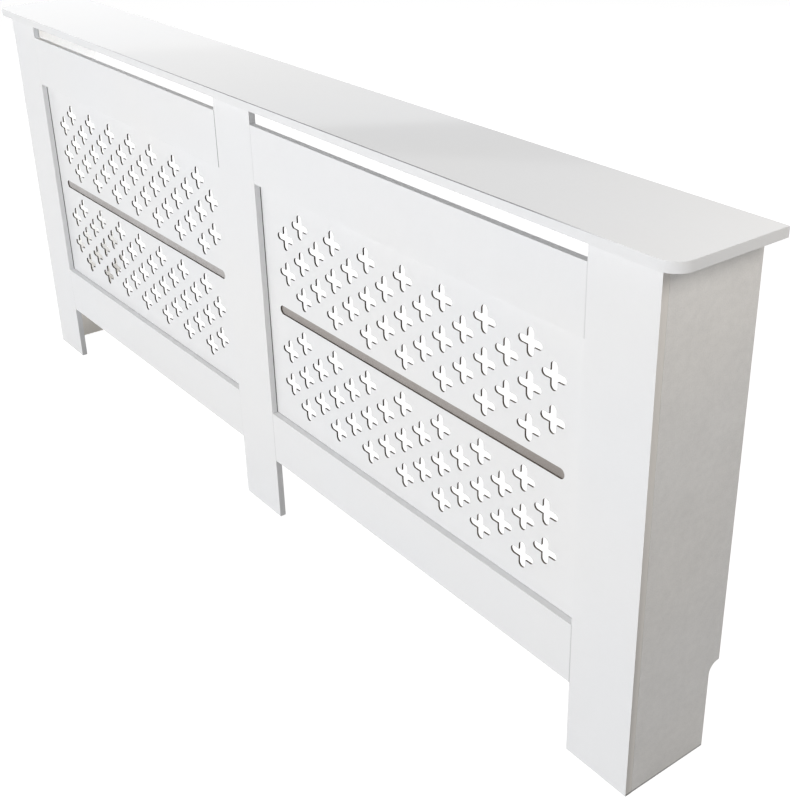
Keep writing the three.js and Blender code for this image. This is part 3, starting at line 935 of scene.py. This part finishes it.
def zinc_group():
    """Bright zinc plate: faint cloudy spangle, fine scratches and a roughness that drifts."""
    tree, given, made = group_tree(
        "Zinc plate",
        "ShaderNodeTree",
        [
            ("Place", "NodeSocketVector", None),
            ("Pale", "NodeSocketColor", zinc_pale),
            ("Dark", "NodeSocketColor", zinc_dark),
        ],
        surface_outputs,
    )
    place = given["Place"]
    spangle = noise(tree, place, 420.0, detail=2.0)
    cloud = noise(tree, place, 90.0, detail=2.0)
    brushed = add(tree, "ShaderNodeMapping", {0: place, 3: (1.0, 1.0, 0.05)}).outputs[0]
    scratch = noise(tree, brushed, 2600.0, detail=2.0)
    total = calculate(tree, "MULTIPLY_ADD", cloud, 0.5, calculate(tree, "MULTIPLY", spangle, 0.5))
    share = spread(tree, total, 0.35, 0.65, 0.0, 1.0)
    tree.links.new(mix_colours(tree, share, given["Pale"], given["Dark"]), made["Colour"])
    tree.links.new(spread(tree, total, 0.35, 0.65, 0.24, 0.42), made["Roughness"])
    bump = add(tree, "ShaderNodeBump", {"Strength": 0.15, "Distance": 0.00005, "Height": scratch})
    tree.links.new(bump.outputs[0], made["Normal"])
    return tree


zinc_plate = zinc_group()
zinc, tree, place, shader = new_material("Zinc-plated steel")
use_group(tree, zinc_plate, shader, {"Place": place, "Pale": zinc_pale, "Dark": zinc_dark})
shader.inputs["Metallic"].default_value = 1.0

# Which way each family of screws points, in words that its node names hold
toward = {
    "stile_screw": lambda out: Vector((0, -1, 0)),
    "side_screw": lambda out: Vector((out, 0, 0)),
    "bracket_screw": lambda out: Vector((out, 0, 0)),
    "shelf_cleat_screw": lambda out: Vector((0, 0, 1)),
    "centre_block_left": lambda out: Vector((0, 0, 1)),
    "centre_block_right": lambda out: Vector((0, 0, 1)),
}
screw_meshes = {}
screw_nodes = sorted(name for name in nodes if "screw" in name)
for number, name in enumerate(screw_nodes):
    low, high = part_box(name)
    out = 1 if low.x > 0 else -1
    family = next(words for words in toward if words in name)
    direction = toward[family](out)
    middle = (low + high) / 2
    reach = abs((high - low).dot(direction))
    length = reach - screw_head_height - screw_seat_gap
    key = round(length, 4)
    if key not in screw_meshes:
        screw_meshes[key] = screw_mesh(length)
        screw_meshes[key].materials.append(zinc)
    screw = mesh_piece(name + ".threaded", screw_meshes[key])
    tip = middle + direction * reach / 2
    aim = (-direction).to_track_quat("Z", "Y").to_matrix().to_4x4()
    own_turn = Matrix.Rotation(turn_between_screws * number, 4, "Z")
    screw.matrix_world = Matrix.Translation(tip - direction * length) @ aim @ own_turn
    stand_in_for(screw, name)

# ---- Top shelf ----
# One 15 mm board with rounded front corners lies on the stiles and cleats, out past the front and
# both ends, and is painted glossier than the frame. A fine grey line is laid along the top of its nose,
# strongest in the middle and fading towards both ends.

shelf_edge_radius = 0.0011
nose_line_height = 0.0013
nose_line_grey = (0.250, 0.250, 0.260, 1)
nose_line_left_fade = (-0.60, -0.08)
nose_line_right_fade = (0.78, 0.93)
nose_line_reach = (0.0008, 0.0012)
shelf_sheen = 0.05

shelf = nodes["top_shelf"]
shelf_low, shelf_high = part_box("top_shelf")


def nose_grey_line(tree, at, facing):
    at_top = spread(tree, at["Z"], shelf_high.z - nose_line_height, shelf_high.z - nose_line_height * 0.8, 0.0, 1.0)
    near, far = (shelf_low.y + reach for reach in nose_line_reach)
    at_nose = spread(tree, at["Y"], near, far, 1.0, 0.0)
    from_left = spread(tree, at["X"], *nose_line_left_fade, 0.0, 1.0)
    to_right = spread(tree, at["X"], *nose_line_right_fade, 1.0, 0.0)
    return product(tree, at_top, at_nose, from_left, to_right)


shelf_paint = painted_board("Painted shelf", "Z", sheen=shelf_sheen)
colour_where(shelf_paint, nose_grey_line, nose_line_grey)
ease_edges(shelf, shelf_edge_radius)
dress(shelf, shelf_paint)

# ---- Wall brackets ----
# Two angle brackets of 2 mm zinc-plated strip hold the cover to the wall. Each is punched flat, with
# round ends and holes, then bent square over a small radius and screwed to a side panel's inner face.

bracket_corner = 0.004
bracket_first_hole = 0.014
bracket_second_hole = 0.031
bracket_screw_hole = 0.0039
bracket_wall_hole = 0.005
bracket_edge_radius = 0.0003
bracket_thickness = 0.002
bend_cuts = 10
hole_steps = 32


def rounded_end_strip(half_length, half_width, radius):
    """A strip's outline with its four corners rounded."""
    points = []
    for x_sign, z_sign, start in ((1, 1, 0.0), (-1, 1, 0.5), (-1, -1, 1.0), (1, -1, 1.5)):
        centre = (x_sign * (half_length - radius), z_sign * (half_width - radius))
        points += arc(*centre, radius, start * math.pi, (start + 0.5) * math.pi, 6)
    return points


def ring(x, z, diameter):
    return arc(x, z, diameter / 2, 0.0, 2 * math.pi * (1 - 1 / hole_steps), hole_steps - 1)


def bracket_mesh(low, high, out):
    """Punches the strip flat, cuts it across its bend and wraps it round the bend's middle radius."""
    leg_side, leg_wall = high.y - low.y, high.x - low.x
    width, thickness = high.z - low.z, bracket_thickness
    bend_radius = 1.5 * thickness
    bend_length = bend_radius * math.pi / 2
    straight_side, straight_wall = leg_side - 2 * thickness, leg_wall - 2 * thickness
    total = straight_side + bend_length + straight_wall
    # Along the strip, the bend starts at 0, the side leg lies before it and the wall leg after it
    middle = (bend_length + straight_wall - straight_side) / 2
    outline = [(x + middle, z) for x, z in rounded_end_strip(total / 2, width / 2, bracket_corner)]
    holes = [
        ring(2 * thickness - bracket_first_hole, 0.0, bracket_screw_hole),
        ring(2 * thickness - bracket_second_hole, 0.0, bracket_screw_hole),
        ring(bend_length + bracket_second_hole - 2 * thickness, 0.0, bracket_wall_hole),
    ]
    mesh = cut_sheet("wall_bracket", [outline, *holes], 0.0, thickness)
    shape = bmesh.new()
    shape.from_mesh(mesh)
    for cut in range(bend_cuts + 1):
        bmesh.ops.bisect_plane(
            shape,
            geom=[*shape.verts, *shape.edges, *shape.faces],
            plane_co=(bend_length * cut / bend_cuts, 0, 0),
            plane_no=(1, 0, 0),
        )
    for corner in shape.verts:
        along, depth, z = corner.co
        turn = min(max(along, 0.0), bend_length) / bend_radius
        past = along - min(max(along, 0.0), bend_length)
        # Depth 0 is the strip's outer face, on the side panel and on the wall
        r = 2 * thickness - depth
        x = 2 * thickness - r * math.cos(turn) + past * math.sin(turn)
        y = r * math.sin(turn) - 2 * thickness + past * math.cos(turn)
        corner.co = (x, y, z)
    if out > 0:
        bmesh.ops.scale(shape, vec=(-1, 1, 1), verts=shape.verts)
    bmesh.ops.recalc_face_normals(shape, faces=shape.faces)
    shape.to_mesh(mesh)
    shape.free()
    return mesh


for side, out in sides.items():
    name = side + "_wall_bracket"
    low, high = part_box(name)
    mesh = bracket_mesh(low, high, out)
    mesh.materials.append(zinc)
    bracket = mesh_piece(name + ".bent", mesh)
    bracket.location = (high.x if out > 0 else low.x, high.y, (low.z + high.z) / 2)
    ease_edges(bracket, bracket_edge_radius)
    stand_in_for(bracket, name)

# ---- Room and camera ----
# A plain pale floor and an even white room. Two broad soft lamps light the front, weaker ones the right
# side and the top, and a narrow one behind lights the inside of the left end. Three dim panels behind
# the left end give the top its soft bands of reflection.

floor_half = 14.0
floor_drop = 0.0003
floor_colour = (0.55, 0.55, 0.55, 1)
floor_seen_white = 0.90
floor_seen_colour = (0.35, 0.35, 0.35, 1)
room_light = (1.0, 0.985, 0.965, 1)
room_strength = 0.20

shape = bmesh.new()
bmesh.ops.create_grid(shape, x_segments=1, y_segments=1, size=floor_half)
floor_mesh = bpy.data.meshes.new("floor")
shape.to_mesh(floor_mesh)
shape.free()
floor = mesh_piece("floor", floor_mesh)
floor.location.z = -floor_drop
floor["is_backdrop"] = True


def seen_directly(tree):
    """1 where the camera, a reflection or a clear material looks, and 0 where light bounces."""
    path = tree.nodes.new("ShaderNodeLightPath").outputs
    mirror = calculate(tree, "MAXIMUM", path["Is Glossy Ray"], path["Is Transmission Ray"])
    return calculate(tree, "MAXIMUM", path["Is Camera Ray"], mirror)


floor_material = bpy.data.materials.new("Pale floor")
floor_material.use_nodes = True
tree = floor_material.node_tree
tree.nodes.clear()
lit = add(tree, "ShaderNodeBsdfDiffuse", {"Color": floor_colour})
seen_lit = add(tree, "ShaderNodeBsdfDiffuse", {"Color": floor_seen_colour})
glow = add(tree, "ShaderNodeEmission", {"Strength": floor_seen_white})
seen = add(tree, "ShaderNodeAddShader", {0: seen_lit.outputs[0], 1: glow.outputs[0]})
both = add(tree, "ShaderNodeMixShader", {0: seen_directly(tree), 1: lit.outputs[0], 2: seen.outputs[0]})
add(tree, "ShaderNodeOutputMaterial", {0: both.outputs[0]})
floor_mesh.materials.append(floor_material)

world = bpy.data.worlds.new("White room")
bpy.context.scene.world = world
world.use_nodes = True
tree = world.node_tree
tree.nodes.clear()
dim = add(tree, "ShaderNodeBackground", {"Color": room_light, "Strength": room_strength})
white = add(tree, "ShaderNodeBackground", {"Color": (1, 1, 1, 1), "Strength": 1.0})
both = add(tree, "ShaderNodeMixShader", {0: seen_directly(tree), 1: dim.outputs[0], 2: white.outputs[0]})
add(tree, "ShaderNodeOutputWorld", {0: both.outputs[0]})

middle = (cad_low + cad_high) / 2


def soft_lamp(name, place, size, radiance, colour, facing=middle, spread_angle=180):
    """A rectangular lamp of a width and a height that faces a point, as bright as its radiance."""
    light = bpy.data.lights.new(name, "AREA")
    light.shape = "RECTANGLE"
    light.size, light.size_y = size
    light.energy = math.pi * size[0] * size[1] * radiance
    light.color = colour
    light.spread = math.radians(spread_angle)
    lamp = bpy.data.objects.new(name, light)
    bpy.context.scene.collection.objects.link(lamp)
    lamp.location = place
    lamp.rotation_euler = (Vector(facing) - Vector(place)).to_track_quat("-Z", "Y").to_euler()


cool = (0.985, 0.99, 1.0)
cooler = (0.93, 0.965, 1.0)
warm = (1.0, 0.965, 0.92)
left_end = (-0.98, 0.0, 0.49)
inner_spread_angle = 27
panels_face = (1.87, -1.09)
panels = {
    "low_panel": ((-4.42, 1.98, 0.887), (5.0, 1.774), 0.16),
    "middle_panel": ((-4.07, 2.61, 1.127), (6.0, 2.253), 0.38),
    "high_panel": ((-2.63, 4.27, 3.11), (4.0, 1.234), 0.216),
}

soft_lamp("front_left_lamp", (-1.75, -4.35, 2.12), (3.0, 3.0), 1.97, cool)
soft_lamp("front_right_lamp", (1.0, -4.75, 1.67), (3.0, 3.0), 4.86, cool)
soft_lamp("top_lamp", (-1.5, 1.0, 3.92), (2.0, 2.0), 3.90, cool)
soft_lamp("right_lamp", (1.75, 0.15, 1.47), (0.5, 0.5), 6.7, warm)
soft_lamp("inner_lamp", (0.8, 1.2, 0.75), (0.5, 0.25), 3.7, cooler, left_end, inner_spread_angle)
for name, (place, size, radiance) in panels.items():
    soft_lamp(name, place, size, radiance, cool, (*panels_face, place[2]))

# The photograph's camera, with its lens in pixels and its axis off the middle of the picture
image_long_side = 800
image_centre = (395, 400)
lens_pixels = 1241.14
sensor = 36.0
principal_point = (440.0, 353.09)
camera_place = (1.86951, -1.09454, 1.34796)
camera_turn = (64.0464, 0.6306, 51.6937)

camera_data = bpy.data.cameras.new("camera")
camera_data.sensor_width = sensor
camera_data.lens = lens_pixels * sensor / image_long_side
camera_data.shift_x = (image_centre[0] - principal_point[0]) / image_long_side
camera_data.shift_y = (principal_point[1] - image_centre[1]) / image_long_side
camera = bpy.data.objects.new("camera", camera_data)
bpy.context.scene.collection.objects.link(camera)
camera.location = camera_place
camera.rotation_euler = Euler([math.radians(angle) for angle in camera_turn], "XYZ")
bpy.context.scene.camera = camera
bpy.context.scene.view_settings.view_transform = "Standard"

low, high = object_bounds()
